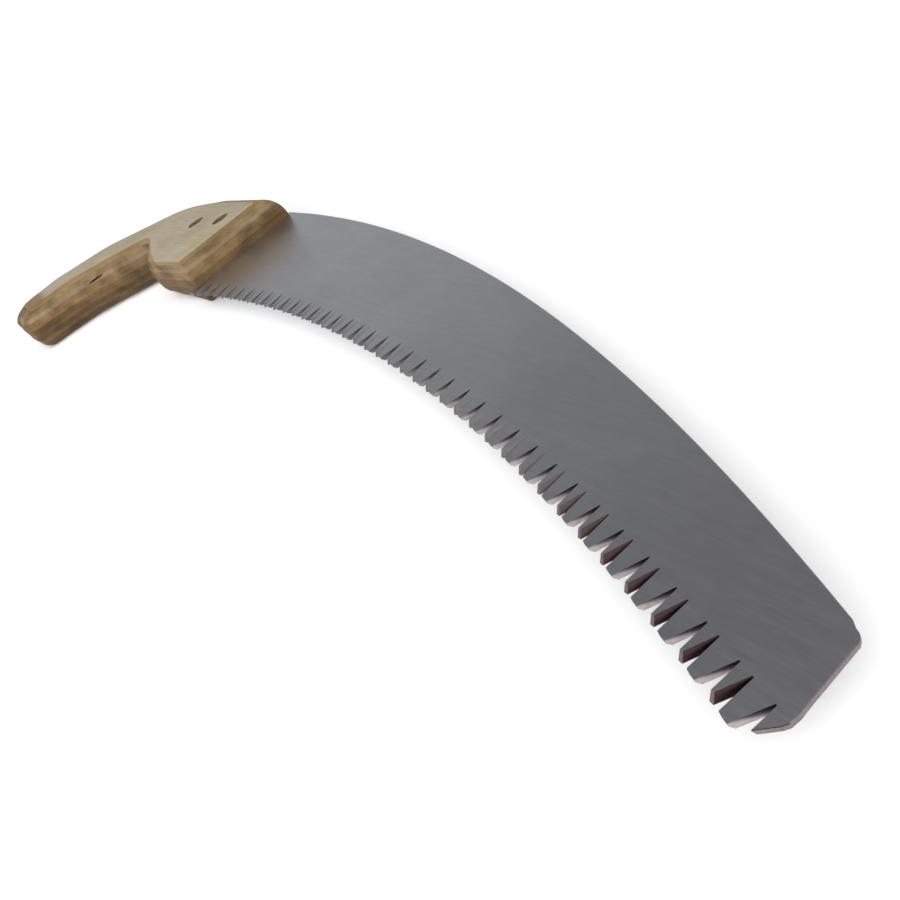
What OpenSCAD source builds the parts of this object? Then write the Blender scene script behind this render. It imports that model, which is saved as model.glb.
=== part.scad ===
// Curved pruning saw: a steel blade on a pistol-grip plywood handle.
// The saw lies flat. +Z is the blade's normal, +X runs along the blade towards the toe.
// The origin is on the face that the handle rests on, midway between the two saw bolts.

/* [Blade] */
// Radius of the concave arc that the gullets' roots lie on
root_arc_r = 629; // [600:1:660]
// Radius of the convex arc along the blade's back
back_arc_r = 635; // [630:1:640]
// Thickness of the blade
blade_t = 1.4; // [1.2:0.1:1.6]
// Tooth pitch: 25.4 mm for six teeth
tooth_pitch = 4.2333; // [4:0.01:4.4]
// Pairs of teeth: one bevelled from above, the next from below
tooth_pairs = 39; // [30:1:39]
// Depth of the teeth below the root arc
tooth_depth = 7.1; // [5:0.1:7.5]
// Half width of a gullet at the tips, as a share of its depth
gullet_flare = 0.21; // [0.15:0.01:0.24]
// Angle at which every other gullet is filed across the blade, leaning away from the toe
fleam = 37; // [20:1:40]
// The same for the gullets between them
steep_fleam = 16; // [0:1:20]

/* [Handle] */
// Thickness of one ply
ply_t = 2.2; // [2:0.1:2.4]
// Plies above the blade's slot, with the one that the slot is cut into
plies_above = 7; // [7:1:7]
// Plies below the blade's slot
plies_below = 4; // [4:1:4]
// Depth of the blade's slot behind the handle's front corner
slot_depth = 52; // [48:1:54]

/* [Fasteners] */
// Distance between the two saw bolts
bolt_spacing = 24.5; // [22:0.5:26]
// Diameter of a saw bolt's shank
bolt_d = 5; // [4:0.5:6]
// Diameter of a saw bolt's round head
head_d = 8; // [7:0.5:9]
// Diameter of the washer under each nut
washer_d = 10; // [9:0.5:11]
// Width of a nut across its flats
nut_af = 8; // [7:0.5:8.5]

/* [Hidden] */
$fn = 48;
arc_fn = 720;
cut = 1;

// Heights, from the rest face up
handle_h = (plies_above + plies_below) * ply_t;
blade_z = plies_below * ply_t;
blade_top = blade_z + blade_t;
middle_z = blade_top;

// Blade arcs: the root arc starts at tooth_start, heading along +X
tooth_start = [65, -25.65];
root_centre = tooth_start - [0, root_arc_r];
back_centre = [3.2, -609.85];
tip_r = root_arc_r - tooth_depth;
// Arc length from tooth_start to the last gullet's root, by the toe
last_gullet = 279.5;
// A tooth bevelled from above is this much narrower on top than one bevelled from below
bevel_shift = 2.12;
gullet_flat = 0.3;
// How far the slot's cutter reaches behind the slot's end and ahead of the front corner, and its width
slot_extra = 12;
slot_clear = 8;
slot_wide = 120;
// Toe: its snub lower corner, its slanted end and its blunt upper corner, closed well inside the blade.
// Heel: the tang's step and the end of the blade hidden in the handle, closed the same way.
toe = [[331.4, -94.6], [336, -90.4], [338.2, -88.3], [338.9, -84.6], [340.5, -73.6], [340.2, -72.3], [339.2, -71.5],
       [338, -60], [300, 60]];
heel = [[29.5, 60], [29.5, 18.5], [-24, 18.5], [-29, 13.5], [-29, -28.6], [-26.5, -30], [-23.5, -31], [-8, -30.5],
        [19.4, -29], [19.4, -60]];

// Handle outline, one row per corner, counter-clockwise from the front's toothed side:
// x, y, fillet, then the rounding's insets before and after the corner and its height,
// for the upper edge and for the lower edge
outline = [
    [19.4, -29.5, 1.2, 1, 1, 1.2, 2.5, 2.5, 2.5],
    [31.5, 23.4, 1, 1, 12.5, 13, 2.5, 8, 9],
    [-13, 23.9, 50, 12.5, 12.5, 13, 8, 8, 9],
    [-54, 17.8, 60, 11, 11, 12, 8, 8, 9],
    [-107, -17.8, 60, 9, 9, 11, 8, 8, 9],
    [-134.5, -50, 40, 13, 13, 12, 8, 8, 9],
    [-148, -85, 8, 19, 28, 9, 6, 6, 7],
    [-109, -86.6, 9, 27, 9, 8, 7, 7, 8],
    [-93, -54.6, 60, 9, 9, 11, 9, 9, 9.5],
    [-66, -29.5, 25, 9, 9, 11, 9, 9, 9.5],
    [-54, -17, 8, 5, 5, 9, 9, 9, 9.5],
    [-25, -32, 6, 8, 8, 10, 10, 10, 10],
    [-8, -31.1, 8, 1, 1, 1.2, 7, 7, 8]
];
corners = len(outline);
arc_steps = 7;

// Fasteners: the bolts' line leans a little, to follow the handle's back edge
bolt_lean = 6.3;
bolt_at = [for (s = [-1, 1]) bolt_spacing / 2 * s * [cos(bolt_lean), sin(bolt_lean)]];
head_h = 1.8;
hole_gap = 0.1;
head_recess = ply_t;
nut_recess = 2 * ply_t;
washer_t = 1;
nut_h = 3.2;
slot_w = 1.2;
slot_h = 0.8;

// An open gap in the third ply, at the grip's front
gap_at = [-83.3, -44];
gap_size = [10.5, 9, 1.6];
gap_turn = 45;

// Unit vector, and the left-hand normal of a vector
function unit(v) = v / norm(v);
function left_of(v) = [-v[1], v[0]];
function clamp(v, low, high) = min(max(v, low), high);

// How far an edge has rounded inwards at a height above or below the blade's top.
// The rounding is a quarter ellipse, a wide and b high, under a face at the height full.
function rounding(a, b, height, full) =
    let (q = clamp((height - (full - b)) / b, 0, 1)) a * (1 - sqrt(1 - q * q));

// The outline's corner i moved inwards for the level z
function moved_corner(i, z) =
    let (row = outline[i],
         before = outline[(i + corners - 1) % corners],
         after = outline[(i + 1) % corners],
         up = z >= middle_z,
         k = up ? 3 : 6,
         full = up ? handle_h - middle_z : middle_z,
         height = abs(z - middle_z),
         a1 = rounding(row[k], row[k + 2], height, full),
         a2 = rounding(row[k + 1], row[k + 2], height, full),
         n1 = left_of(unit([row[0] - before[0], row[1] - before[1]])),
         n2 = left_of(unit([after[0] - row[0], after[1] - row[1]])),
         det = n1[0] * n2[1] - n1[1] * n2[0])
    [row[0] + (a1 * n2[1] - a2 * n1[1]) / det, row[1] + (a2 * n1[0] - a1 * n2[0]) / det];

// Points of the fillet at p, between the corners p0 and p1
function fillet(p0, p, p1, r) =
    let (a = unit(p0 - p),
         b = unit(p1 - p),
         half = acos(a * b) / 2,
         d = min(r / tan(half), 0.48 * min(norm(p0 - p), norm(p1 - p))),
         r_used = d * tan(half),
         centre = p + unit(a + b) * r_used / sin(half),
         start = p + a * d - centre,
         finish = p + b * d - centre,
         turn = atan2(start[0] * finish[1] - start[1] * finish[0], start * finish),
         first = atan2(start[1], start[0]))
    [for (m = [0 : arc_steps]) let (t = first + turn * m / arc_steps) centre + r_used * [cos(t), sin(t)]];

// The handle's closed outline at the level z
function ring(z) =
    let (q = [for (i = [0 : corners - 1]) moved_corner(i, z)],
         up = z >= middle_z,
         k = up ? 3 : 6,
         full = up ? handle_h - middle_z : middle_z)
    [for (i = [0 : corners - 1])
        let (p0 = q[(i + corners - 1) % corners],
             p = q[i],
             p1 = q[(i + 1) % corners],
             convex = cross(p - p0, p1 - p) > 0,
             off = rounding(min(outline[i][k], outline[i][k + 1]), outline[i][k + 2], abs(z - middle_z), full),
             r = convex ? max(outline[i][2] - off, 0.8) : outline[i][2] + off)
        each fillet(p0, p, p1, r)];

// A solid through the handle's outlines at each of a list of levels
module loft(levels) {
    rings = [for (z = levels) ring(z)];
    n = len(rings[0]);
    last = len(levels) - 1;
    points = [for (j = [0 : last]) for (p = rings[j]) [p[0], p[1], levels[j]]];
    sides = [for (j = [0 : last - 1]) for (i = [0 : n - 1])
        let (i2 = (i + 1) % n)
        each [[j * n + i, (j + 1) * n + i, j * n + i2], [j * n + i2, (j + 1) * n + i, (j + 1) * n + i2]]];
    // Each end is a zigzag of triangles from the handle's back edge to its front edge
    strips = [for (i = [0 : n / 2 - 2]) each [[i, i + 1, n - 1 - i], [i + 1, n - 2 - i, n - 1 - i]]];
    top = [for (f = strips) [last * n + f[2], last * n + f[1], last * n + f[0]]];
    polyhedron(points = points, faces = concat(sides, strips, top));
}

// Ply number i, counted from the top face down, with its bolt holes
module ply(i, hole, steps = 1) {
    top = handle_h - (i - 1) * ply_t;
    difference() {
        loft([for (m = [0 : steps]) top - ply_t + ply_t * m / steps]);
        for (p = bolt_at)
            translate([p[0], p[1], top - ply_t - cut])
                cylinder(d = hole, h = ply_t + 2 * cut);
    }
}

shank_hole = bolt_d + 2 * hole_gap;

module near_face_ply() {
    color([0.68, 0.64, 0.56]) ply(1, head_d + 0.6, 3);
}

module near_ply_2() {
    color([0.60, 0.52, 0.39]) ply(2, shank_hole, 2);
}

// The third ply, with a short open gap in its edge
module near_ply_3() {
    color([0.55, 0.46, 0.35])
        difference() {
            ply(3, shank_hole);
            translate([gap_at[0], gap_at[1], handle_h - 2.5 * ply_t])
                rotate([0, 0, gap_turn])
                    cube(gap_size, center = true);
        }
}

module near_ply_4() {
    color([0.50, 0.40, 0.28]) ply(4, shank_hole);
}

module near_ply_5() {
    color([0.54, 0.45, 0.33]) ply(5, shank_hole);
}

module near_ply_6() {
    color([0.48, 0.38, 0.27]) ply(6, shank_hole);
}

// The ply that the blade's slot is cut into, from the front and right across
module slotted_ply() {
    color([0.54, 0.45, 0.33])
        difference() {
            ply(7, shank_hole);
            translate([outline[1][0] - slot_depth - slot_extra, -slot_wide / 2, blade_z - cut])
                cube([slot_depth + slot_extra + slot_clear, slot_wide, blade_t + cut]);
        }
}

module far_ply_8() {
    color([0.48, 0.38, 0.27]) ply(8, shank_hole);
}

module far_ply_9() {
    color([0.54, 0.45, 0.33]) ply(9, shank_hole);
}

module far_ply_10() {
    color([0.50, 0.40, 0.28]) ply(10, washer_d + 0.6, 2);
}

module far_face_ply() {
    color([0.68, 0.64, 0.56]) ply(11, washer_d + 0.6, 3);
}

// The blade's outline before its teeth are cut: between the two arcs, with its toe and tang
module blade_outline() {
    intersection() {
        difference() {
            translate(back_centre) circle(r = back_arc_r, $fn = arc_fn);
            translate(root_centre) circle(r = tip_r, $fn = arc_fn);
        }
        polygon(concat(toe, heel));
    }
}

// One gullet at the arc length s, filed across the blade at the angle lean
module gullet(s, lean) {
    half = gullet_flare * (tooth_depth + cut) * cos(lean);
    translate([root_centre[0], root_centre[1], blade_top])
        rotate([0, 0, -s / root_arc_r * 180 / PI])
            translate([0, root_arc_r, 0])
                rotate([0, lean, 0])
                    linear_extrude(height = 8 * blade_t, center = true)
                        polygon([[-gullet_flat / 2, 0], [-half, -tooth_depth - cut],
                                 [half, -tooth_depth - cut], [gullet_flat / 2, 0]]);
}

module saw_blade() {
    color([0.44, 0.44, 0.47])
        difference() {
            translate([0, 0, blade_z]) linear_extrude(height = blade_t) blade_outline();
            for (k = [0 : tooth_pairs - 1]) {
                gullet(last_gullet - 2 * tooth_pitch * k, -steep_fleam);
                if (k < tooth_pairs - 1)
                    gullet(last_gullet - 2 * tooth_pitch * k - tooth_pitch - bevel_shift / 2, -fleam);
            }
            for (p = bolt_at)
                translate([p[0], p[1], blade_z - cut]) cylinder(d = shank_hole, h = blade_t + 2 * cut);
        }
}

// A saw bolt: a slotted round head, let into the top face, on a shank down to its nut
module saw_bolt(p, slot_turn) {
    color([0.30, 0.29, 0.28])
        translate([p[0], p[1], 0])
            difference() {
                union() {
                    translate([0, 0, handle_h - head_recess]) cylinder(d = head_d, h = head_h);
                    translate([0, 0, nut_recess - washer_t - nut_h])
                        cylinder(d = bolt_d, h = handle_h - head_recess - nut_recess + washer_t + nut_h);
                }
                translate([0, 0, handle_h - head_recess + head_h - slot_h / 2 + cut / 2])
                    rotate([0, 0, slot_turn])
                        cube([head_d + cut, slot_w, slot_h + cut], center = true);
            }
}

module rear_saw_bolt() {
    saw_bolt(bolt_at[0], 25);
}

module front_saw_bolt() {
    saw_bolt(bolt_at[1], 70);
}

module washer(p) {
    color([0.45, 0.45, 0.46])
        translate([p[0], p[1], nut_recess - washer_t])
            difference() {
                cylinder(d = washer_d, h = washer_t);
                translate([0, 0, -cut]) cylinder(d = shank_hole, h = washer_t + 2 * cut);
            }
}

module rear_washer() {
    washer(bolt_at[0]);
}

module front_washer() {
    washer(bolt_at[1]);
}

module nut(p, turn) {
    color([0.42, 0.42, 0.43])
        translate([p[0], p[1], nut_recess - washer_t - nut_h])
            rotate([0, 0, turn])
                difference() {
                    cylinder(d = nut_af / cos(30), h = nut_h, $fn = 6);
                    translate([0, 0, -cut]) cylinder(d = bolt_d, h = nut_h + 2 * cut);
                }
}

module rear_nut() {
    nut(bolt_at[0], 10);
}

module front_nut() {
    nut(bolt_at[1], 35);
}

saw_blade();
near_face_ply();
near_ply_2();
near_ply_3();
near_ply_4();
near_ply_5();
near_ply_6();
slotted_ply();
far_ply_8();
far_ply_9();
far_ply_10();
far_face_ply();
rear_saw_bolt();
front_saw_bolt();
rear_washer();
front_washer();
rear_nut();
front_nut();
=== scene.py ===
"""A curved pruning saw: a brushed steel blade in a pistol-grip handle of eleven glued plies.

Lengths are in millimetres until a mesh is made, where MM turns them into metres.
"""

import math

import bmesh
import bpy
from mathutils import Matrix, Vector, noise


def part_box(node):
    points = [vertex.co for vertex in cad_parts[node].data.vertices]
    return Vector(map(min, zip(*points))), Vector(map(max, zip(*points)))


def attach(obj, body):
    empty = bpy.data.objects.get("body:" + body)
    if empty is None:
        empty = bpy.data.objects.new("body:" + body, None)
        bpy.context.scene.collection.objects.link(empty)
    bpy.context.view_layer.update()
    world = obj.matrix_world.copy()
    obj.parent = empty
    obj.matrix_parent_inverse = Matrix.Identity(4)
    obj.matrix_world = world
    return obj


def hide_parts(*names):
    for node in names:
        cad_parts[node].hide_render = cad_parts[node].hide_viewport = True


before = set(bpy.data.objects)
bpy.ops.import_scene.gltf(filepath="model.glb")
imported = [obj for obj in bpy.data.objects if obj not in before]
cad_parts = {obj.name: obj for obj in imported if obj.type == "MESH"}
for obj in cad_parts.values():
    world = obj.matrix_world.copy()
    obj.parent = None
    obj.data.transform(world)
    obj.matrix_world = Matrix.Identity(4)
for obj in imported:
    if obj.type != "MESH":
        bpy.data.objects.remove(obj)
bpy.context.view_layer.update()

MM = 0.001


def heights(node):
    """The lowest and highest level of a CAD node, in millimetres."""
    low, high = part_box(node)
    return low.z / MM, high.z / MM


def centre(node):
    """The middle of a CAD node seen from above, in millimetres."""
    low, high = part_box(node)
    return (low.x + high.x) / 2 / MM, (low.y + high.y) / 2 / MM


# ---------------------------------------------------------------- sizes shared by several pieces

PLIES = ["near_face_ply", "near_ply_2", "near_ply_3", "near_ply_4", "near_ply_5", "near_ply_6",
         "slotted_ply", "far_ply_8", "far_ply_9", "far_ply_10", "far_face_ply"]
HANDLE_H = heights("near_face_ply")[1]
BLADE_Z, BLADE_TOP = heights("saw_blade")
BOLTS = [centre("rear_saw_bolt"), centre("front_saw_bolt")]

# Handle outline, one row per corner, counter-clockwise from the front's toothed side:
# x, y, fillet, then the rounding's insets before and after the corner and its height,
# for the upper edge and for the lower edge
OUTLINE = [
    [19.4, -29.5, 1.2, 1, 1, 1.2, 2.5, 2.5, 2.5],
    [31.5, 23.4, 1, 1, 12.5, 13, 2.5, 8, 9],
    [-13, 23.9, 50, 12.5, 12.5, 13, 8, 8, 9],
    [-54, 17.8, 60, 11, 11, 12, 8, 8, 9],
    [-107, -17.8, 60, 9, 9, 11, 8, 8, 9],
    [-134.5, -50, 40, 13, 13, 12, 8, 8, 9],
    [-148, -85, 8, 19, 28, 9, 6, 6, 7],
    [-109, -86.6, 9, 27, 9, 8, 7, 7, 8],
    [-93, -54.6, 60, 9, 9, 11, 9, 9, 9.5],
    [-66, -29.5, 25, 9, 9, 11, 9, 9, 9.5],
    [-54, -17, 8, 5, 5, 9, 9, 9, 9.5],
    [-25, -32, 6, 8, 8, 10, 10, 10, 10],
    [-8, -31.1, 8, 1, 1, 1.2, 7, 7, 8],
]
# Steps in a fillet, and the spacing of the points on straight runs and of the levels
FILLET_STEPS = 12
POINT_SPACING = 2.0
LEVEL_SPACING = 0.2
# The rasp left broad waves and shallow ridges on the grip: their heights, the ridges' spacing along the
# grip, how deep both lie under the outline, and how far from the faces they begin to fade
WAVE_HEIGHT = 0.7
RIDGE_HEIGHT = 0.28
RIDGE_PITCH = 19
RASP_DEPTH = 0.45
RASP_FADE = 1.5
# Where the grip begins, and the length over which its unevenness grows to its full height
GRIP_START = -58
GRIP_BLEND = 14
# The inner corner behind the blade, where the wood is painted darkest as shade
SHADED_NOTCH = (-58, -22, 9)
# The blade's slot from above. On the toothed side it ends just outside the tang, and it is open towards the
# front and towards the blade's back.
KERF = [(-32.5, -31.05), (-8, -30.55), (19.4, -29.05), (19.4, -60), (60, -60), (60, 60), (-32.5, 60)]
# Radii of the holes for the bolts' heads, for the washers and nuts, and for the shanks
HEAD_HOLE = 4.3
WASHER_HOLE = 5.3
SHANK_HOLE = 2.6
# How far the heads' holes flare at the upper face
HEAD_FLARE = 0.25
# How far a cutter reaches past the face that it opens
PAST = 1


# ---------------------------------------------------------------- small mesh helpers

def new_object(name, points, faces, smooth_below=None):
    """A mesh object from points in millimetres. Edges flatter than smooth_below degrees shade smooth."""
    mesh = bpy.data.meshes.new(name)
    mesh.from_pydata([tuple(c * MM for c in p) for p in points], [], faces)
    mesh.validate()
    obj = bpy.data.objects.new(name, mesh)
    bpy.context.scene.collection.objects.link(obj)
    tidy_normals(obj)
    if smooth_below:
        shade(obj, smooth_below)
    return obj


def tidy_normals(obj):
    """Turns every face outwards."""
    bm = bmesh.new()
    bm.from_mesh(obj.data)
    bmesh.ops.recalc_face_normals(bm, faces=bm.faces)
    bm.to_mesh(obj.data)
    bm.free()


def shade(obj, degrees):
    """Smooth shading, with edges sharper than the angle kept crisp."""
    for face in obj.data.polygons:
        face.use_smooth = True
    obj.data.set_sharp_from_angle(angle=math.radians(degrees))


def apply_modifiers(obj):
    """Replaces the object's mesh with the result of its modifiers."""
    graph = bpy.context.evaluated_depsgraph_get()
    result = bpy.data.meshes.new_from_object(obj.evaluated_get(graph))
    old = obj.data
    obj.modifiers.clear()
    obj.data = result
    bpy.data.meshes.remove(old)


def subtract(obj, cutters):
    """Cuts each cutter out of the object, then deletes the cutters."""
    for cutter in cutters:
        cut = obj.modifiers.new("cut", "BOOLEAN")
        cut.operation = "DIFFERENCE"
        cut.solver = "EXACT"
        cut.object = cutter
    apply_modifiers(obj)
    for cutter in cutters:
        bpy.data.objects.remove(cutter)


def prism(name, outline, z0, z1):
    """An upright prism on a 2-D outline."""
    n = len(outline)
    points = [(x, y, z0) for x, y in outline] + [(x, y, z1) for x, y in outline]
    faces = [list(range(n))[::-1], list(range(n, 2 * n))]
    faces += [[i, (i + 1) % n, n + (i + 1) % n, n + i] for i in range(n)]
    return new_object(name, points, faces)


def turned(name, at, profile, sides=64, smooth_below=35):
    """A turned solid on the Z axis through at. The profile's rows are radius and height."""
    points = []
    for r, z in profile:
        for k in range(sides):
            t = 2 * math.pi * k / sides
            points.append((at[0] + r * math.cos(t), at[1] + r * math.sin(t), z))
    rows = len(profile)
    faces = []
    for j in range(rows - 1):
        for k in range(sides):
            k2 = (k + 1) % sides
            faces.append([j * sides + k, j * sides + k2, (j + 1) * sides + k2, (j + 1) * sides + k])
    faces.append(list(range(sides))[::-1])
    faces.append([(rows - 1) * sides + k for k in range(sides)])
    return new_object(name, points, faces, smooth_below)


def finish_piece(obj, node, slot, *materials):
    """Puts the piece in place of its CAD node, with its materials."""
    obj.data.materials.clear()
    for material in materials:
        obj.data.materials.append(material)
    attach(obj, "root")
    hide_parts(node)


# ---------------------------------------------------------------- material helpers

def srgb(r, g, b):
    """A linear colour from sRGB bytes."""
    def channel(c):
        c /= 255
        return c / 12.92 if c <= 0.04045 else ((c + 0.055) / 1.055) ** 2.4
    return channel(r), channel(g), channel(b), 1


def ramp_in(tree, fac, stops):
    """A colour ramp in a node tree. Each stop is a place and a colour or a grey level."""
    node = tree.nodes.new("ShaderNodeValToRGB")
    band = node.color_ramp
    while len(band.elements) < len(stops):
        band.elements.new(0.5)
    for element, (place, value) in zip(band.elements, stops):
        element.position = place
        element.color = value if isinstance(value, tuple) else (value, value, value, 1)
    tree.links.new(fac, node.inputs["Fac"])
    return node.outputs["Color"]


class Nodes:
    """Builds one material's node tree in a few short calls."""

    def __init__(self, name):
        self.material = bpy.data.materials.new(name)
        self.material.use_nodes = True
        self.tree = self.material.node_tree
        self.shader = self.tree.nodes["Principled BSDF"]
        self.where = self.tree.nodes.new("ShaderNodeTexCoord").outputs["Object"]

    def add(self, kind, **values):
        """A new node with some of its properties set."""
        node = self.tree.nodes.new(kind)
        for key, value in values.items():
            setattr(node, key, value)
        return node

    def link(self, source, socket):
        """Joins one node's output to another's input."""
        self.tree.links.new(source, socket)

    def mapped(self, scale=(1, 1, 1), turn=0):
        """Object coordinates, turned about Z by turn degrees and then scaled."""
        rotation = self.add("ShaderNodeMapping", vector_type="POINT")
        rotation.inputs["Rotation"].default_value = (0, 0, math.radians(turn))
        self.link(self.where, rotation.inputs["Vector"])
        scaling = self.add("ShaderNodeMapping", vector_type="POINT")
        scaling.inputs["Scale"].default_value = scale
        self.link(rotation.outputs[0], scaling.inputs["Vector"])
        return scaling.outputs[0]

    def noise(self, vector, scale, detail, roughness):
        """Cloudy noise over a vector."""
        node = self.add("ShaderNodeTexNoise")
        node.inputs["Scale"].default_value = scale
        node.inputs["Detail"].default_value = detail
        node.inputs["Roughness"].default_value = roughness
        self.link(vector, node.inputs["Vector"])
        return node.outputs["Fac"]

    def ramp(self, fac, stops):
        """A colour ramp over a socket."""
        return ramp_in(self.tree, fac, stops)

    def ramp_along(self, times, stops):
        """A colour ramp over X in metres, multiplied by times so that its stops lie between 0 and 1."""
        return self.ramp(self.math("MULTIPLY", self.separate(0), times), stops)

    def mix(self, fac, a, b, blend="MIX"):
        """Mixes two colours. Each may be a socket or a colour."""
        node = self.add("ShaderNodeMix", data_type="RGBA", blend_type=blend)
        for value, key in ((fac, 0), (a, 6), (b, 7)):
            if isinstance(value, bpy.types.NodeSocket):
                self.link(value, node.inputs[key])
            else:
                node.inputs[key].default_value = value
        return node.outputs[2]

    def separate(self, axis):
        """One of the object coordinates."""
        node = self.add("ShaderNodeSeparateXYZ")
        self.link(self.where, node.inputs[0])
        return node.outputs[axis]

    def near_to(self, point, reach, level):
        """A grey level that is level at a point in millimetres and 1 beyond its reach in metres."""
        node = self.add("ShaderNodeVectorMath", operation="DISTANCE")
        self.link(self.where, node.inputs[0])
        node.inputs[1].default_value = Vector(point) * MM
        share = self.math("DIVIDE", node.outputs["Value"], reach)
        return self.ramp(share, [(0.2, level), (1.0, 1.0)])

    def math(self, operation, *values):
        """One sum. Each value may be a socket or a number."""
        node = self.add("ShaderNodeMath", operation=operation)
        for key, value in enumerate(values):
            if isinstance(value, bpy.types.NodeSocket):
                self.link(value, node.inputs[key])
            else:
                node.inputs[key].default_value = value
        return node.outputs[0]

    def bump(self, height, distance, strength):
        """Roughens the surface by a height socket. The distance is in metres."""
        node = self.add("ShaderNodeBump")
        node.inputs["Distance"].default_value = distance
        node.inputs["Strength"].default_value = strength
        self.link(height, node.inputs["Height"])
        self.link(node.outputs["Normal"], self.shader.inputs["Normal"])

    def set(self, **values):
        """Sets or links the shader's sockets, by their names with _ for a space."""
        for key, value in values.items():
            socket = self.shader.inputs[key.replace("_", " ")]
            if isinstance(value, bpy.types.NodeSocket):
                self.link(value, socket)
            else:
                socket.default_value = value


# ---------------------------------------------------------------- materials

def blade_steel():
    """Flat-ground steel: fine grinding lines along the blade, faint clouds, a few pinprick specks, and
    painted shade darkening it towards the toe.
    """
    n = Nodes("ground_steel")
    lines = n.noise(n.mapped((160, 2600, 400), turn=BRUSH_TURN), 1.0, 5.0, 0.65)
    broad = n.noise(n.mapped((45, 600, 400), turn=BRUSH_TURN), 1.0, 3.0, 0.5)
    clouds = n.noise(n.mapped(), 30.0, 4.0, 0.6)
    # Painted shade: the steel darkens from the middle towards the toe.
    along = n.ramp_along(2.8, [(0.05, HANDLE_STEEL), (0.5, MIDDLE_STEEL), (0.95, SHADED_TOE_STEEL)])
    shade_by_clouds = n.ramp(clouds, [(0.3, 0.93), (0.7, 1.05)])
    colour = n.mix(1.0, along, shade_by_clouds, "MULTIPLY")
    colour = n.mix(1.0, colour, n.ramp(lines, [(0.3, 0.93), (0.7, 1.06)]), "MULTIPLY")
    colour = n.mix(1.0, colour, n.ramp(broad, [(0.3, 0.96), (0.7, 1.03)]), "MULTIPLY")
    specks = n.add("ShaderNodeTexVoronoi")
    specks.inputs["Scale"].default_value = 45.0
    n.link(n.where, specks.inputs["Vector"])
    rare = n.add("ShaderNodeSeparateColor")
    n.link(specks.outputs["Color"], rare.inputs[0])
    is_rare = n.ramp(rare.outputs[0], [(0.80, 0.0), (0.82, 1.0)])
    is_near = n.ramp(specks.outputs["Distance"], [(0.012, 1.0), (0.022, 0.0)])
    colour = n.mix(n.math("MULTIPLY", is_rare, is_near), colour, srgb(46, 44, 46))
    n.set(Base_Color=colour, Metallic=1.0)
    n.set(Roughness=n.ramp(lines, [(0.3, 0.28), (0.7, 0.33)]))
    n.bump(lines, 0.00001, 0.3)
    return n.material


def kerf_dust():
    """Wood dust packed against the blade's edge in the handle's slot."""
    n = Nodes("kerf_dust")
    grit = n.noise(n.mapped(), 1400.0, 3.0, 0.6)
    n.set(Base_Color=n.mix(n.ramp(grit, [(0.35, 0.0), (0.65, 1.0)]), srgb(92, 72, 50), srgb(132, 108, 80)))
    n.set(Roughness=0.85)
    n.bump(grit, 0.0002, 0.6)
    return n.material


def towards_tip(n):
    """A socket that is 0 on the arc of the gullets' roots and 1 on the arc of the teeth's tips."""
    dx = n.math("SUBTRACT", n.separate(0), ROOT_CENTRE.x * MM)
    dy = n.math("SUBTRACT", n.separate(1), ROOT_CENTRE.y * MM)
    r = n.math("SQRT", n.math("ADD", n.math("MULTIPLY", dx, dx), n.math("MULTIPLY", dy, dy)))
    return n.math("DIVIDE", n.math("SUBTRACT", ROOT_R * MM, r), TOOTH_DEPTH * MM)


def wall_steel(name, root, tip, plain, rough):
    """Filed walls and edges, tinted darker by the toe with a painted reflection that shifts from root to tip,
    and plain further back.
    """
    n = Nodes(name)
    # Painted reflection: the dark tint by the toe stands for what the walls mirror there.
    painted_reflection = n.ramp(towards_tip(n), [(0.12, root), (0.85, tip)])
    by_toe = n.ramp_along(3.0, [(0.77, 0.0), (0.80, 0.25), (0.84, 0.7), (0.89, 1.0)])
    marks = n.noise(n.mapped((2500, 2500, 300)), 1.0, 3.0, 0.6)
    colour = n.mix(by_toe, plain, painted_reflection)
    n.set(Base_Color=n.mix(1.0, colour, n.ramp(marks, [(0.3, 0.8), (0.7, 1.15)]), "MULTIPLY"))
    n.set(Metallic=1.0, Roughness=rough)
    n.bump(marks, 0.00002, 0.4)
    return n.material


def shaded_steep_wall():
    """A steep gullet wall: painted shade darkens its upper edge and its root, and lower down it is lighter
    and scratched.

    The painted shade is nearly black by the toe and a soft grey by the handle.
    """
    n = Nodes("shaded_steep_wall")
    below_top = n.math("SUBTRACT", BLADE_TOP * MM, n.separate(2))
    lower = n.math("DIVIDE", below_top, (BLADE_TOP - BLADE_Z) * MM)
    # Painted shade: darkest at the root and along the upper edge, fading to the scratched steel lower down.
    out_of_shade = n.math("ADD", n.math("MULTIPLY", towards_tip(n), 0.75), n.math("MULTIPLY", lower, 0.65))
    by_toe = n.ramp(out_of_shade, [(0.28, srgb(26, 19, 25)), (0.55, srgb(84, 72, 78)), (0.85, srgb(172, 163, 163))])
    by_handle = n.ramp(out_of_shade, [(0.28, srgb(52, 50, 50)), (0.55, srgb(72, 71, 72)), (0.85, srgb(98, 97, 98))])
    colour = n.mix(n.ramp_along(4.0, [(0.76, 0.0), (1.0, 1.0)]), by_handle, by_toe)
    scratches = n.noise(n.mapped((900, 900, 6000)), 1.0, 2.0, 0.5)
    n.set(Base_Color=n.mix(1.0, colour, n.ramp(scratches, [(0.35, 0.82), (0.65, 1.15)]), "MULTIPLY"))
    n.set(Metallic=0.7, Roughness=0.5)
    n.bump(scratches, 0.00002, 0.4)
    return n.material


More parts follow.
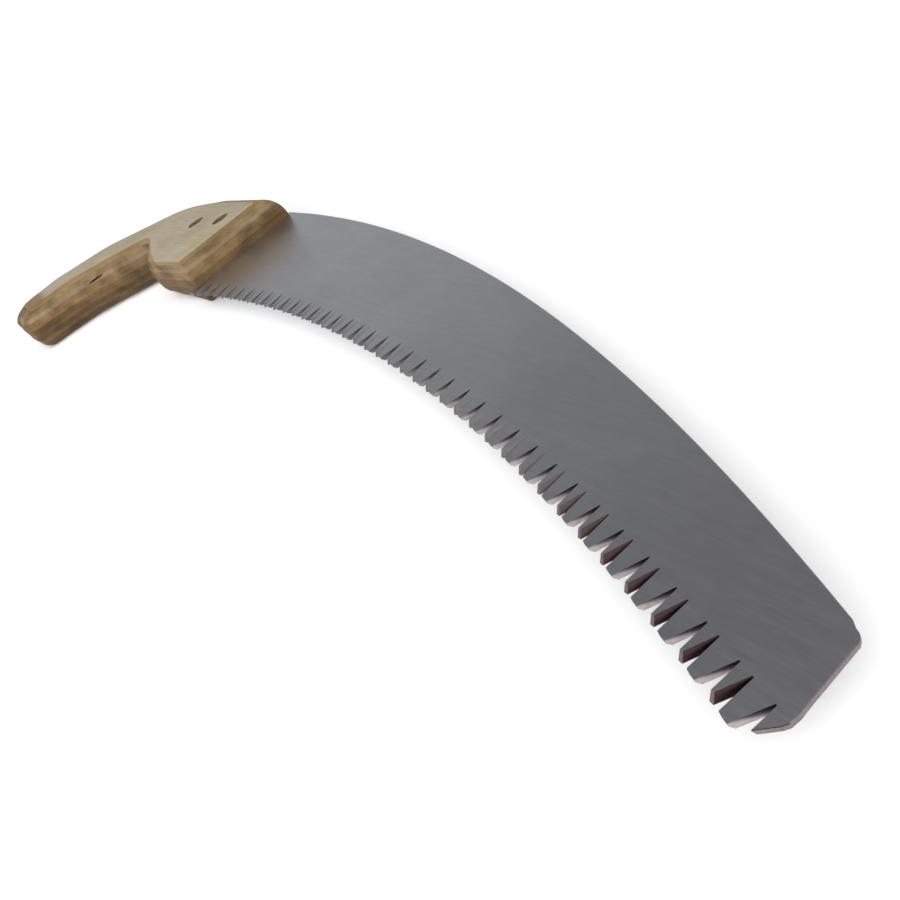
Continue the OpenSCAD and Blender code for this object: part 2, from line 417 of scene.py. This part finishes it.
def veneer(name, level, side, edge, top):
    """A pale face veneer over an outer ply, whose edge shows the darker wood under the thin pale layer.

    level is the height of the veneer's face. side is 1 where that face looks up and -1 where it looks down.
    """
    n = Nodes(name)
    grain = n.noise(n.mapped((60, 900, 300)), 1.0, 5.0, 0.6)
    mottle = n.noise(n.mapped(), 55.0, 3.0, 0.5)
    pale = n.mix(n.ramp(mottle, [(0.35, 0.0), (0.7, 1.0)]), *top)
    under = n.mix(n.ramp(mottle, [(0.35, 0.0), (0.65, 1.0)]), *edge)
    below = n.math("MULTIPLY", n.math("SUBTRACT", level * MM, n.separate(2)), side / MM)
    wandering = n.math("ADD", below, n.math("MULTIPLY", n.math("SUBTRACT", mottle, 0.5), 0.5))
    colour = n.mix(n.ramp(wandering, [(0.16, 0.0), (0.50, 1.0)]), pale, under)
    fine = n.ramp(grain, [(0.3, 0.90), (0.7, 1.04)])
    n.set(Base_Color=n.mix(1.0, colour, fine, "MULTIPLY"))
    n.set(Roughness=n.ramp(grain, [(0.3, 0.62), (0.7, 0.50)]))
    n.bump(grain, 0.00005, 0.35)
    return n.material


def ply_wood(name, dark, light, stretch):
    """One ply's wood: grain stretched by stretch, blotches, a darker glue line at its edges, and painted
    shade near the inner corner behind the blade.
    """
    glue = 0.76
    low, high = heights(name)
    n = Nodes(name + "_wood")
    grain = n.noise(n.mapped(stretch), 1.0, 5.0, 0.65)
    blotch = n.noise(n.mapped((1, 1, 1.6)), 75.0, 4.0, 0.55)
    colour = n.mix(n.ramp(blotch, [(0.36, 0.0), (0.64, 1.0)]), dark, light)
    fine = n.ramp(grain, [(0.3, 0.86), (0.7, 1.07)])
    colour = n.mix(1.0, colour, fine, "MULTIPLY")
    middle = (low + high) / 2 * MM
    off_middle = n.math("ABSOLUTE", n.math("SUBTRACT", n.separate(2), middle))
    share = n.math("DIVIDE", off_middle, (high - low) / 2 * MM)
    line = n.ramp(share, [(0.80, 1.0), (0.97, glue)])
    # Painted shade: the wood darkens towards the inner corner behind the blade.
    colour = n.mix(1.0, colour, n.near_to(SHADED_NOTCH, 0.024, 0.66), "MULTIPLY")
    n.set(Base_Color=n.mix(1.0, colour, line, "MULTIPLY"))
    n.set(Roughness=n.ramp(grain, [(0.3, 0.70), (0.7, 0.55)]), Specular_IOR_Level=0.25)
    n.bump(grain, 0.00008, 0.5)
    return n.material


def fastener_steel(name, dark, light, rough):
    """Dull steel with a cloudy oxide."""
    n = Nodes(name)
    clouds = n.noise(n.mapped(), 700.0, 4.0, 0.6)
    fine = n.noise(n.mapped((1, 1, 6)), 2600.0, 2.0, 0.6)
    n.set(Base_Color=n.mix(n.ramp(clouds, [(0.35, 0.0), (0.7, 1.0)]), dark, light), Metallic=1.0)
    n.set(Roughness=n.ramp(fine, [(0.3, rough - 0.06), (0.7, rough + 0.1)]))
    n.bump(fine, 0.00002, 0.4)
    return n.material


# ---------------------------------------------------------------- the handle's shape

def rounding(a, b, height, full):
    """How far an edge has rounded inwards: a quarter ellipse, a wide and b high, under a face at full."""
    q = min(max((height - (full - b)) / b, 0), 1)
    return a * (1 - math.sqrt(1 - q * q))


def level_columns(z):
    """OUTLINE's first column for the side of the blade that z is on, and the face's and the level's distance
    from the blade's top."""
    if z >= BLADE_TOP:
        return 3, HANDLE_H - BLADE_TOP, z - BLADE_TOP
    return 6, BLADE_TOP, BLADE_TOP - z


def moved_corners(z):
    """The outline's corners at the level z."""
    k, full, height = level_columns(z)
    count = len(OUTLINE)
    corners = [Vector(row[:2]) for row in OUTLINE]
    normals = []
    for i in range(count):
        along = (corners[(i + 1) % count] - corners[i]).normalized()
        normals.append(Vector((-along.y, along.x)))
    moved = []
    for i, row in enumerate(OUTLINE):
        a1 = rounding(row[k], row[k + 2], height, full)
        a2 = rounding(row[k + 1], row[k + 2], height, full)
        n1 = normals[i - 1]
        n2 = normals[i]
        det = n1.x * n2.y - n1.y * n2.x
        shift = Vector((a1 * n2.y - a2 * n1.y, a2 * n1.x - a1 * n2.x)) / det
        moved.append(corners[i] + shift)
    return moved


def fillet(p0, p, p1, r):
    """Points of the fillet at p, between the corners p0 and p1."""
    a = (p0 - p).normalized()
    b = (p1 - p).normalized()
    half = a.angle(b) / 2
    d = min(r / math.tan(half), 0.48 * min((p0 - p).length, (p1 - p).length))
    r = d * math.tan(half)
    middle = p + (a + b).normalized() * r / math.sin(half)
    start = p + a * d - middle
    finish = p + b * d - middle
    turn = math.atan2(start.x * finish.y - start.y * finish.x, start.dot(finish))
    first = math.atan2(start.y, start.x)
    steps = [first + turn * m / FILLET_STEPS for m in range(FILLET_STEPS + 1)]
    return [middle + r * Vector((math.cos(t), math.sin(t))) for t in steps]


def edge_splits():
    """How many points each straight run between two fillets gets."""
    count = len(OUTLINE)
    corners = [Vector(row[:2]) for row in OUTLINE]
    runs = [(corners[(i + 1) % count] - corners[i]).length for i in range(count)]
    return [max(1, round(run / POINT_SPACING)) for run in runs]


def ring(z):
    """The handle's closed outline at the level z, with the same number of points at every level."""
    k, full, height = level_columns(z)
    q = moved_corners(z)
    count = len(q)
    arcs = []
    for i, row in enumerate(OUTLINE):
        p0 = q[i - 1]
        p = q[i]
        p1 = q[(i + 1) % count]
        convex = (p - p0).cross(p1 - p) > 0
        off = rounding(min(row[k], row[k + 1]), row[k + 2], height, full)
        r = max(row[2] - off, 0.8) if convex else row[2] + off
        arcs.append(fillet(p0, p, p1, r))
    points = []
    for i, split in enumerate(edge_splits()):
        start = arcs[i][-1]
        end = arcs[(i + 1) % count][0]
        points += arcs[i]
        points += [start.lerp(end, m / split) for m in range(1, split)]
    return points


def rasped(points, z):
    """The outline with the shallow unevenness that shaping by hand leaves on the grip."""
    count = len(points)
    shaped = []
    for i, p in enumerate(points):
        along = (points[(i + 1) % count] - points[i - 1]).normalized()
        outward = Vector((along.y, -along.x))
        grip = min(max((GRIP_START - p.x) / GRIP_BLEND, 0), 1)
        height = min(1, (HANDLE_H - z) / RASP_FADE, z / RASP_FADE)
        broad = noise.noise(Vector((p.x / 12, p.y / 12, z / 7)))
        wave = broad + 0.4 * noise.noise(Vector((p.x / 5, p.y / 5, z / 3)))
        ridge = math.cos(2 * math.pi * (p.x + p.y) / math.sqrt(2) / RIDGE_PITCH + 0.15 * z)
        rise = WAVE_HEIGHT * wave + RIDGE_HEIGHT * ridge - RASP_DEPTH
        shaped.append(p + outward * rise * grip * height)
    return shaped


def loft(name, low, high):
    """The handle's solid between two levels."""
    steps = max(2, round((high - low) / LEVEL_SPACING))
    levels = [low + (high - low) * j / steps for j in range(steps + 1)]
    rings = [rasped(ring(z), z) for z in levels]
    n = len(rings[0])
    points = [(p.x, p.y, z) for z, r in zip(levels, rings) for p in r]
    faces = [list(range(n))[::-1], [steps * n + i for i in range(n)]]
    for j in range(steps):
        for i in range(n):
            i2 = (i + 1) % n
            faces.append([j * n + i, j * n + i2, (j + 1) * n + i2, (j + 1) * n + i])
    return new_object(name, points, faces)


def bored(obj, radius, low, high, flare=0.0):
    """Cuts both bolt holes out of a ply, with a flare at the upper face where one is given."""
    cutters = []
    for k, at in enumerate(BOLTS):
        profile = [(radius, low - PAST)]
        if flare:
            profile += [(radius, high - flare), (radius + flare, high), (radius + flare, high + PAST)]
        else:
            profile += [(radius, high + PAST)]
        cutters.append(turned(f"bore_{k}", at, profile))
    subtract(obj, cutters)


# ---------------------------------------------------------------- the blade's shape

# The gullets' roots and the blade's back lie on arcs. The roots' arc heads along +X at TOOTH_START.
TOOTH_START = Vector((65, -25.65))
ROOT_R = 629.0
ROOT_CENTRE = TOOTH_START - Vector((0, ROOT_R))
BACK_R = 635.0
BACK_CENTRE = Vector((3.2, -609.85))
# Where the toothed edge meets the handle's front, where it meets the toe, and where the back meets the
# tang and the toe
HEEL_X = 19.4
TOE_X = 332.4
BACK_HEEL_X = 29.5
BACK_TOE_X = 338.2
# Steps along each of the blade's long edges
LONG_EDGE_STEPS = 220
# Depth and pitch of the teeth, and the number of steep gullets. A bevelled one lies between each two.
TOOTH_DEPTH = 7.1
PITCH = 4.2333
STEEP_GULLETS = 39
# Arc length from TOOTH_START to the last gullet's root, by the toe
LAST_GULLET = 279.5
# A tooth bevelled from above is this much narrower on top than one bevelled from below
BEVEL_SHIFT = 2.12
# Half a gullet's width at the tips, as a share of its depth, and its width at the root
GULLET_FLARE = 0.21
GULLET_FLAT = 0.3
# Angles at which the bevelled and the steep gullets are filed across the blade
FLEAM = math.radians(37)
STEEP_FLEAM = math.radians(16)
# The small third bevel on each tip: its height, its angle, how far past a steep gullet the near side's one
# lies, and how far before a steep gullet the far side's one lies
TIP_FACET = 1.2
TIP_SKEW = math.radians(18)
NEAR_TIP = 1.59
FAR_TIP = 2.65
# Direction of the grinding lines, in degrees
BRUSH_TURN = 6
# Colours of the blade's faces by the handle, in the middle and by the toe; the toe's darker colour is painted
# shade, for the dimmer reflection there
HANDLE_STEEL = srgb(193, 196, 202)
MIDDLE_STEEL = srgb(194, 197, 203)
SHADED_TOE_STEEL = srgb(166, 166, 171)
# Places of the blade's materials in its list
FACE, BEVEL, EDGE, STEEP, IN_SLOT = range(5)


def arc(centre_at, r, x0, x1):
    """Points along a circle's upper side, from x0 to x1."""
    first = math.asin((x0 - centre_at.x) / r)
    last = math.asin((x1 - centre_at.x) / r)
    points = []
    for i in range(LONG_EDGE_STEPS + 1):
        angle = first + (last - first) * i / LONG_EDGE_STEPS
        points.append(Vector((centre_at.x + r * math.sin(angle), centre_at.y + r * math.cos(angle))))
    return points


def blade_outline():
    """The blade from above before its teeth are cut, counter-clockwise from the heel's toothed side."""
    tang = [(BACK_HEEL_X, 18.5), (-24, 18.5), (-29, 13.5), (-29, -28.6), (-26.5, -30), (-23.5, -31),
            (-8, -30.5), (HEEL_X, -29)]
    toe = [(336, -90.4), (337.5, -89.2), (338.2, -88.3), (338.7, -86.6), (338.9, -84.6), (340.4, -74.2),
           (340.5, -73.4), (340.3, -72.6), (339.9, -72.0), (339.2, -71.5)]
    lower = arc(ROOT_CENTRE, ROOT_R - TOOTH_DEPTH, HEEL_X, TOE_X)
    upper = arc(BACK_CENTRE, BACK_R, BACK_TOE_X, BACK_HEEL_X)
    return lower + [Vector(p) for p in toe] + upper + [Vector(p) for p in tang]


def inset(points, distance):
    """A closed outline moved inwards by a small distance."""
    count = len(points)
    moved = []
    for i, p in enumerate(points):
        a = (p - points[i - 1]).normalized()
        b = (points[(i + 1) % count] - p).normalized()
        n1 = Vector((-a.y, a.x))
        n2 = Vector((-b.y, b.x))
        moved.append(p + (n1 + n2) * distance / (1 + n1.dot(n2)))
    return moved


def at_root(s, z):
    """A frame at arc length s along the gullets' roots: +X towards the toe, +Y towards the blade's back."""
    centre_at = Matrix.Translation((ROOT_CENTRE.x, ROOT_CENTRE.y, z))
    return centre_at @ Matrix.Rotation(-s / ROOT_R, 4, "Z") @ Matrix.Translation((0, ROOT_R, 0))


def gullet(name, s, lean):
    """A wedge that cuts one gullet, filed across the blade at the angle lean."""
    deep = TOOTH_DEPTH + PAST
    half = GULLET_FLARE * deep * math.cos(lean)
    flat = GULLET_FLAT / 2
    profile = [(-flat, 0), (-half, -deep), (half, -deep), (flat, 0)]
    reach = 3 * (BLADE_TOP - BLADE_Z)
    place = at_root(s, BLADE_TOP) @ Matrix.Rotation(lean, 4, "Y")
    points = [place @ Vector((x, y, z)) for z in (-reach, reach) for x, y in profile]
    faces = [[3, 2, 1, 0], [4, 5, 6, 7], [0, 1, 5, 4], [1, 2, 6, 5], [2, 3, 7, 6], [3, 0, 4, 7]]
    return new_object(name, points, faces)


def tip_facet(name, s, side):
    """A wedge that cuts a tooth's third, small bevel across its tip, facing up for side 1 and down for -1."""
    low, high = (BLADE_Z, BLADE_TOP) if side > 0 else (BLADE_TOP, BLADE_Z)
    tip = -TOOTH_DEPTH
    edge = tip - 0.15
    outside = tip - 2.5
    clear = 0.8
    half_width = 1.5
    profile = [(edge, low), (tip + TIP_FACET, high), (tip + TIP_FACET + clear, high + clear * side),
               (outside, high + clear * side), (outside, low)]
    to_tip = Matrix.Translation((0, tip, 0))
    skew = to_tip @ Matrix.Rotation(TIP_SKEW * side, 4, "Z") @ to_tip.inverted()
    place = at_root(s, 0) @ skew
    points = [place @ Vector((x, y, z)) for x in (-half_width, half_width) for y, z in profile]
    faces = [[0, 1, 2, 3, 4], [9, 8, 7, 6, 5]]
    faces += [[i, (i + 1) % 5, 5 + (i + 1) % 5, 5 + i] for i in range(5)]
    return new_object(name, points, faces)


def joined(name, objects):
    """One object that holds the meshes of several."""
    bm = bmesh.new()
    for obj in objects:
        bm.from_mesh(obj.data)
        bpy.data.objects.remove(obj)
    mesh = bpy.data.meshes.new(name)
    bm.to_mesh(mesh)
    bm.free()
    obj = bpy.data.objects.new(name, mesh)
    bpy.context.scene.collection.objects.link(obj)
    return obj


def blade_blank():
    """The blade before its teeth are cut: a plate with its long edges and its toe eased."""
    ease = 0.12
    outline = blade_outline()
    eased = inset(outline, ease)
    levels = [(eased, BLADE_Z), (outline, BLADE_Z + ease), (outline, BLADE_TOP - ease), (eased, BLADE_TOP)]
    n = len(outline)
    points = [(p.x, p.y, z) for r, z in levels for p in r]
    faces = [list(range(n))[::-1], [3 * n + i for i in range(n)]]
    for j in range(3):
        for i in range(n):
            i2 = (i + 1) % n
            faces.append([j * n + i, j * n + i2, (j + 1) * n + i2, (j + 1) * n + i])
    return new_object("blade", points, faces)


def make_blade():
    """The blade with its teeth and bolt holes. The materials are in the order of FACE to IN_SLOT."""
    obj = blade_blank()
    pair = 2 * PITCH
    half_shift = BEVEL_SHIFT / 2
    gaps = range(STEEP_GULLETS - 1)
    steep = [gullet(f"steep_{k}", LAST_GULLET - pair * k, -STEEP_FLEAM) for k in range(STEEP_GULLETS)]
    bevelled = [gullet(f"bevelled_{k}", LAST_GULLET - pair * k - PITCH - half_shift, -FLEAM) for k in gaps]
    bore = [(SHANK_HOLE, BLADE_Z - PAST), (SHANK_HOLE, BLADE_TOP + PAST)]
    bores = [turned(f"bore_{k}", at, bore) for k, at in enumerate(BOLTS)]
    near = [tip_facet(f"near_{k}", LAST_GULLET - pair * (k + 1) + NEAR_TIP, 1) for k in gaps]
    far = [tip_facet(f"far_{k}", LAST_GULLET - pair * k - FAR_TIP, -1) for k in gaps]
    cutters = [joined("steep_gullets", steep), joined("bevelled_gullets", bevelled)]
    cutters += [joined("near_tips", near), joined("far_tips", far)]
    subtract(obj, cutters + bores)
    shade(obj, 20)
    steels = [blade_steel(),
              # The filed bevels' dark brown and the edges' pinkish grey by the toe are painted reflection.
              wall_steel("filed_bevel", srgb(54, 41, 41), srgb(60, 46, 45), srgb(84, 83, 82), 0.3),
              wall_steel("edge_steel", srgb(132, 120, 123), srgb(140, 129, 131), srgb(150, 148, 151), 0.4),
              shaded_steep_wall(),
              kerf_dust()]
    finish_piece(obj, "saw_blade", "blade_steel", *steels)
    for face in obj.data.polygons:
        face.material_index = finish_of(face)
        face.use_smooth = face.material_index in (FACE, EDGE)


def finish_of(face):
    """Which of the blade's materials a face has, by where it is and which way it looks."""
    n = face.normal
    at = Vector(face.center[:2]) / MM - ROOT_CENTRE
    if abs(n.z) > 0.9:
        return FACE
    if face.center.x < (HEEL_X + 0.1) * MM:
        return IN_SLOT
    if at.length > ROOT_R + 0.4 or abs(n.z) < 0.1:
        return EDGE
    along = Vector((at.y, -at.x)).normalized()
    forward = n.x * along.x + n.y * along.y
    if forward > 0.3:
        return BEVEL if n.z > 0.45 else STEEP
    return EDGE if n.z > 0 else STEEP


# ---------------------------------------------------------------- the pieces

def make_plies():
    """The handle's eleven plies."""
    pale = (srgb(160, 147, 122), srgb(172, 161, 138))
    near = veneer("near_veneer", HANDLE_H, 1, (srgb(122, 97, 58), srgb(142, 116, 76)), pale)
    # The far veneer's edge is darker than the near one's: painted shade on the handle's underside.
    far = veneer("far_veneer", 0, -1, (srgb(72, 55, 34), srgb(88, 69, 46)), pale)
    # The plies darken towards the bottom: partly their own tones, partly painted shade under the handle.
    tan = (srgb(100, 80, 48), srgb(142, 122, 86))
    pinkish = (srgb(114, 91, 66), srgb(150, 128, 100))
    golden = (srgb(94, 71, 41), srgb(136, 110, 74))
    brown = (srgb(82, 60, 34), srgb(114, 89, 57))
    dark = (srgb(70, 50, 27), srgb(98, 75, 46))
    long_grain = (80, 80, 1500)
    end_grain = (1500, 1500, 1200)
    looks = [near, (tan, long_grain), (pinkish, end_grain), (golden, long_grain), (golden, end_grain),
             (brown, long_grain), (brown, end_grain), (dark, long_grain), (brown, end_grain),
             (dark, long_grain), far]
    for node, look in zip(PLIES, looks):
        low, high = heights(node)
        obj = loft(node + "_shaped", low, high)
        if node == "near_face_ply":
            bored(obj, HEAD_HOLE, low, high, flare=HEAD_FLARE)
        elif node in ("far_face_ply", "far_ply_10"):
            bored(obj, WASHER_HOLE, low, high)
        else:
            bored(obj, SHANK_HOLE, low, high)
        if node == "slotted_ply":
            subtract(obj, [prism("kerf", KERF, BLADE_Z - PAST, BLADE_TOP)])
        if node == "near_ply_3":
            subtract(obj, [glue_gap(low, high)])
        shade(obj, 40)
        if look in (near, far):
            finish_piece(obj, node, "face_veneer", look)
        else:
            slot = "light_ply" if look[1] is end_grain else "dark_ply"
            finish_piece(obj, node, slot, ply_wood(node, *look[0], look[1]))


def glue_gap(low, high):
    """A short, slanting sliver to cut an open gap in the third ply, at the grip's front."""
    at = Vector((-83.3, -44))
    turn = math.radians(45)
    reach = 4.5
    along = Vector((math.cos(turn), math.sin(turn)))
    across = Vector((-along.y, along.x))
    profile = [(-6.2, -0.55), (-4, 0.1), (2, 0.8), (6.2, 0.7), (4, 0.0), (-2, -0.7)]
    middle = (low + high) / 2
    points = []
    for side in (-reach, reach):
        for u, v in profile[::-1]:
            p = at + along * u + across * side
            points.append((p.x, p.y, middle + v))
    faces = [[5, 4, 3, 2, 1, 0], [6, 7, 8, 9, 10, 11]]
    faces += [[i, (i + 1) % 6, 6 + (i + 1) % 6, 6 + i] for i in range(6)]
    return new_object("gap", points, faces)


def make_bolt(node, at, slot_turn, material):
    """A saw bolt: a slotted, slightly domed head let into the top face, on a shank down to its nut."""
    low, high = heights(node)
    head = 4.0
    head_height = 1.8
    shank = 2.5
    ease = 0.4
    under = high - head_height
    dome = [(0, 0.55), (0.1, 0.42), (0.4, 0.28), (1.2, 0.12), (2.4, 0.03), (head - 0.4, 0)]
    profile = [(shank - ease, low), (shank, low + ease), (shank, under), (head, under)]
    profile += [(head - inwards, high - down) for inwards, down in dome]
    obj = turned(node + "_turned", at, profile, 96)
    turn = math.radians(slot_turn)
    along = Vector((math.cos(turn), math.sin(turn)))
    across = Vector((-along.y, along.x))
    slot = [(-5, -0.6), (5, -0.6), (5, 0.6), (-5, 0.6)]
    slot_depth = 0.85
    corners = [Vector(at) + along * u + across * v for u, v in slot]
    subtract(obj, [prism("slot", [(p.x, p.y) for p in corners], high - slot_depth, high + PAST)])
    shade(obj, 35)
    finish_piece(obj, node, "bolt_steel", material)


def make_washer(node, at, material):
    """A flat washer with its edges eased."""
    low, high = heights(node)
    outer = 5.0
    ease = 0.15
    profile = [(outer - ease, low), (outer, low + ease), (outer, high - ease), (outer - ease, high)]
    obj = turned(node + "_stamped", at, profile)
    subtract(obj, [turned("hole", at, [(SHANK_HOLE, low - PAST), (SHANK_HOLE, high + PAST)])])
    shade(obj, 30)
    finish_piece(obj, node, "plated_steel", material)


def make_nut(node, at, turn, material):
    """A hexagon nut with chamfered corners and a bored middle."""
    low, high = heights(node)
    half_flats = 4
    chamfer_depth = 0.5
    bore_r = 2.5
    radius = half_flats / math.cos(math.radians(30))
    corners = [math.radians(turn + 60 * k) for k in range(6)]
    outline = [(at[0] + radius * math.cos(t), at[1] + radius * math.sin(t)) for t in corners]
    obj = prism(node + "_hexagon", outline, low, high)
    inner = half_flats - 0.2
    outer = radius + 0.1
    profile = [(inner, low), (outer, low + chamfer_depth), (outer, high - chamfer_depth), (inner, high)]
    chamfer = turned("chamfer", at, profile)
    keep = obj.modifiers.new("keep", "BOOLEAN")
    keep.operation = "INTERSECT"
    keep.solver = "EXACT"
    keep.object = chamfer
    apply_modifiers(obj)
    bpy.data.objects.remove(chamfer)
    subtract(obj, [turned("hole", at, [(bore_r, low - PAST), (bore_r, high + PAST)])])
    shade(obj, 25)
    finish_piece(obj, node, "plated_steel", material)


def make_fasteners():
    """Both bolts with their washers and nuts, each turned its own way."""
    bolt = fastener_steel("bolt_oxide", srgb(112, 108, 92), srgb(146, 141, 122), 0.55)
    plated = fastener_steel("plated_zinc", srgb(150, 150, 152), srgb(178, 178, 182), 0.35)
    for side, at, slot_turn, nut_turn in (("rear", BOLTS[0], 25, 10), ("front", BOLTS[1], 70, 35)):
        make_bolt(f"{side}_saw_bolt", at, slot_turn, bolt)
        make_washer(f"{side}_washer", at, plated)
        make_nut(f"{side}_nut", at, nut_turn, plated)


# ---------------------------------------------------------------- stage, light and camera

# Brightness of the surroundings, from just above the horizon upwards, and of the wide bright area
SKY_LOW = 0.46
SKY_MIDDLE = 0.36
SKY_HIGH = 0.25
GLOW = 2.45
GLOW_TOWARDS = Vector((0.42, -0.48, 0.77)).normalized()
# The camera's place in metres, its turn in degrees, and its lens and sensor
CAMERA_AT = (0.382805, -0.123366, 0.118437)
CAMERA_TURN = (48.696938, 28.324449, 45.216078)
LENS = 32
SENSOR = 36


def make_stage():
    """A wide pale floor that the saw lies on."""
    half = 6.0
    mesh = bpy.data.meshes.new("floor")
    corners = [(-half, -half, 0), (half, -half, 0), (half, half, 0), (-half, half, 0)]
    mesh.from_pydata(corners, [], [[0, 1, 2, 3]])
    floor = bpy.data.objects.new("floor", mesh)
    bpy.context.scene.collection.objects.link(floor)
    n = Nodes("pale_floor")
    n.set(Base_Color=(0.92, 0.92, 0.92, 1), Roughness=0.9)
    n.set(Emission_Color=(1, 1, 1, 1), Emission_Strength=0.12)
    mesh.materials.append(n.material)


def make_lights():
    """Soft surroundings: white at the horizon, grey above, and one wide bright area high at the front."""
    world = bpy.data.worlds.new("studio")
    bpy.context.scene.world = world
    world.use_nodes = True
    tree = world.node_tree
    direction = tree.nodes.new("ShaderNodeTexCoord").outputs["Generated"]
    height = tree.nodes.new("ShaderNodeSeparateXYZ")
    tree.links.new(direction, height.inputs[0])
    sky = [(0.07, 1.0), (0.13, 0.50), (0.30, SKY_LOW), (0.55, SKY_MIDDLE), (0.85, SKY_HIGH)]
    walls = ramp_in(tree, height.outputs[2], sky)
    toward = tree.nodes.new("ShaderNodeVectorMath")
    toward.operation = "DOT_PRODUCT"
    toward.inputs[1].default_value = GLOW_TOWARDS
    tree.links.new(direction, toward.inputs[0])
    glow = ramp_in(tree, toward.outputs["Value"], [(0.48, 0.0), (0.68, 0.25), (0.95, 1.0)])
    strength = tree.nodes.new("ShaderNodeMath")
    strength.operation = "MULTIPLY"
    strength.inputs[1].default_value = GLOW
    tree.links.new(glow, strength.inputs[0])
    total = tree.nodes.new("ShaderNodeMath")
    total.operation = "ADD"
    tree.links.new(walls, total.inputs[0])
    tree.links.new(strength.outputs[0], total.inputs[1])
    tree.links.new(total.outputs[0], tree.nodes["Background"].inputs["Strength"])
    tree.nodes["Background"].inputs["Color"].default_value = (1, 1, 1, 1)


def make_camera():
    """A close, wide view along the blade from beyond its toe, rolled as the photographer held it."""
    data = bpy.data.cameras.new("camera")
    data.lens = LENS
    data.sensor_width = SENSOR
    data.clip_start = 0.005
    camera = bpy.data.objects.new("camera", data)
    bpy.context.scene.collection.objects.link(camera)
    camera.location = CAMERA_AT
    camera.rotation_euler = [math.radians(angle) for angle in CAMERA_TURN]
    bpy.context.scene.camera = camera


make_camera()
make_stage()
make_lights()
make_plies()
make_blade()
make_fasteners()

bpy.context.scene.view_settings.view_transform = "Standard"
